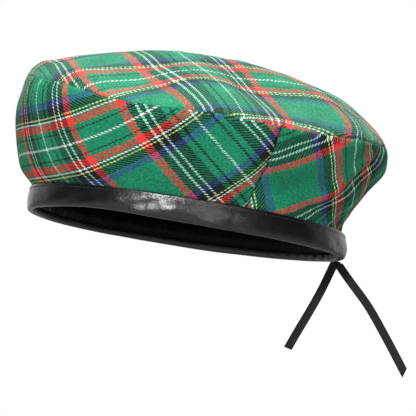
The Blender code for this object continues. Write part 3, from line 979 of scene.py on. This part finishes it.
# %% The leather finish
def band_leather():
    material, tree, shader = finish_nodes("band_leather_finish", (0.008, 0.007, 0.008), 0.38)
    place = tree.nodes.new("ShaderNodeTexCoord").outputs["Object"]
    blotch = noise_at(tree, place, 40, 3.0, 0.55)
    tone = mix_colour(tree, spread(tree, blotch, 0.35, 0.7, 0.0, 1.0),
                      (0.0030, 0.0026, 0.0028), (0.0085, 0.0075, 0.0075))
    tree.links.new(tone, shader.inputs["Base Color"])
    tree.links.new(spread(tree, blotch, 0.25, 0.75, 0.235, 0.30), shader.inputs["Roughness"])
    cells = tree.nodes.new("ShaderNodeTexVoronoi")
    cells.feature = "SMOOTH_F1"
    put(cells, Scale=1500.0)
    tree.links.new(place, cells.inputs["Vector"])
    grain = maths(tree, "ADD", maths(tree, "MULTIPLY", cells.outputs["Distance"], 0.6),
                  maths(tree, "MULTIPLY", noise_at(tree, place, 700, 3.0, 0.6), 0.8))
    bump_on(tree, shader, grain, 0.35, 0.0004)
    put(shader, Specular_IOR_Level=0.52)
    return material


band.data.materials.append(band_leather())
print("band finish:", band.data.materials[0].name)

# %% [markdown]
# The ribbon is ribbed across, with darker edges, and is nearly black. The lining is a smooth cloth that
# shines only a little. The sewing thread is matt, since the twist of a thread scatters the light.

# %% Ribbon, lining and thread finishes
RIB_SPACING = 0.0011


def ribbon_cloth(name, tint):
    material, tree, shader = finish_nodes(name, tint, 0.55)
    split = tree.nodes.new("ShaderNodeSeparateXYZ")
    tree.links.new(map_at(tree, "ribbon_map"), split.inputs["Vector"])
    ribs = maths(tree, "SINE", maths(tree, "MULTIPLY", split.outputs["Y"], 2 * math.pi / RIB_SPACING))
    # the firm selvedge is darker than the middle
    edge = spread(tree, maths(tree, "ABSOLUTE", split.outputs["X"]), 0.0017, 0.0023, 1.0, 0.35)
    # painted shade and light across the ribs: darker in the grooves, lighter on the crowns
    shade = spread(tree, ribs, -1.0, 1.0, 0.55, 1.35)
    tone = mix_colour(tree, 1.0, tint, maths(tree, "MULTIPLY", shade, edge), "MULTIPLY")
    tree.links.new(tone, shader.inputs["Base Color"])
    bump_on(tree, shader, ribs, 0.3, 0.0003)
    put(shader, Specular_IOR_Level=0.15, Sheen_Weight=0.04)
    return material


def lining_satin():
    material, tree, shader = finish_nodes("lining_satin_finish", (0.0026, 0.0026, 0.003), 0.40)
    weave = noise_at(tree, map_at(tree, "flat_map"), 2600)
    tree.links.new(spread(tree, weave, 0.3, 0.7, 0.30, 0.46), shader.inputs["Roughness"])
    bump_on(tree, shader, weave, 0.15, 0.0002)
    put(shader, Specular_IOR_Level=0.06)
    return material


def stitch_thread():
    material, tree, shader = finish_nodes("topstitch_thread", (0.045, 0.042, 0.043), 0.85)
    place = tree.nodes.new("ShaderNodeTexCoord").outputs["Object"]
    bump_on(tree, shader, noise_at(tree, place, 4000, 2.0), 0.4, 0.0002)
    put(shader, Specular_IOR_Level=0.08)
    return material


lining.data.materials.append(lining_satin())
tail_front.data.materials.append(ribbon_cloth("front_ribbon_finish", (0.0115, 0.0085, 0.0095)))
tail_back.data.materials.append(ribbon_cloth("back_ribbon_finish", (0.0105, 0.0085, 0.0110)))
knot.data.materials.append(ribbon_cloth("knot_ribbon_finish", (0.008, 0.0075, 0.008)))
thread = stitch_thread()
print("materials:", len(bpy.data.materials))

# %% [markdown]
# The stitches' path runs in the groove of the band: at each step round the hat it takes the point of
# the outer leaf that is nearest to the right height. The tree then lays the stitches along it.

# %% Lay the topstitching on the band
STITCH_LIFT = 0.00005
OUTER_LEAF_POINTS = 20


def stitch_path():
    count = 600
    points = []
    for k in range(count):
        azimuth = 360.0 * k / count
        dip = float(sections_at([azimuth])[0][0]) * REACH
        leaf = band_ring(azimuth, dip)[:OUTER_LEAF_POINTS]
        best = min(leaf, key=lambda p: abs(p[1] - BAND_HEIGHT * STITCH_UP - dip))
        points.append(ring_points(azimuth, best[0] + STITCH_LIFT, best[1]))
    mesh = bpy.data.meshes.new("topstitch_path")
    mesh.from_pydata([tuple(p) for p in points], [(k, (k + 1) % count) for k in range(count)], [])
    return add_object("band_topstitching", mesh)


stitches = run_tree(stitch_path(), stitch_tree(), spacing=0.0026, stitch_length=0.0020,
                    stitch_width=0.00042, thread=thread)
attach(stitches, "root")
print("stitches:", len(stitches.data.polygons) // (STITCH_SIDES * STITCH_RINGS))

# %% [markdown]
# The hat is held up inside its band, so the floor lies well below it. A large lamp from above leaves a
# soft light on the top and a darker side, and two small ones on the camera's side lay the bright spots
# on the leather. The surroundings shine behind the hat and are dim on the camera's side, so that black
# leather stays black. The camera itself sees them as the plain white of a catalogue picture.

# %% Floor, backdrop and light
FLOOR_LEVEL = -0.24
LAMP_AIM = Vector((0, 0, 0.05))


def stage_floor():
    mesh = bpy.data.meshes.new("pale_floor")
    body = bmesh.new()
    bmesh.ops.create_circle(body, cap_ends=True, radius=4.0, segments=96)
    bmesh.ops.translate(body, verts=body.verts, vec=(0, 0, FLOOR_LEVEL))
    body.to_mesh(mesh)
    body.free()
    floor = add_object("pale_floor", mesh)
    mesh.materials.append(finish_nodes("pale_floor_finish", (0.42, 0.42, 0.42), 0.8)[0])


def soft_lamp(name, azimuth, height, distance, size, power):
    lamp = add_object(name, bpy.data.lights.new(name, "AREA"))
    lamp.data.shape, lamp.data.size, lamp.data.energy = "DISK", size, power
    lamp.location = direction(azimuth) * distance + Vector((0, 0, height))
    lamp.rotation_euler = (LAMP_AIM - lamp.location).to_track_quat("-Z", "Y").to_euler()


stage_floor()
soft_lamp("top_lamp", 40.0, 1.7, 0.6, 1.0, 44.0)
soft_lamp("view_side_lamp", 66.0, 0.45, 1.6, 0.28, 22.0)
soft_lamp("low_side_lamp", 99.0, 0.20, 1.6, 0.20, 3.0)
world = bpy.data.worlds.new("white_surroundings")
world.use_nodes = True
sky, join = world.node_tree.nodes, world.node_tree.links.new
facing, seen = sky.new("ShaderNodeVectorMath"), sky.new("ShaderNodeLightPath")
facing.operation = "DOT_PRODUCT"
join(sky.new("ShaderNodeTexCoord").outputs["Generated"], facing.inputs[0])
facing.inputs[1].default_value = tuple(-direction(VIEW_AZIMUTH))
behind = sky.new("ShaderNodeMapRange")
put(behind, From_Min=0.10, From_Max=0.75, To_Min=0.10, To_Max=0.95)
join(facing.outputs["Value"], behind.inputs["Value"])
join(maths(world.node_tree, "MAXIMUM", seen.outputs["Is Camera Ray"], behind.outputs["Result"]),
     sky["Background"].inputs["Strength"])
put(sky["Background"], Color=(1.0, 1.0, 1.0, 1.0))
bpy.context.scene.world = world
bpy.context.scene.view_settings.view_transform = "Standard"
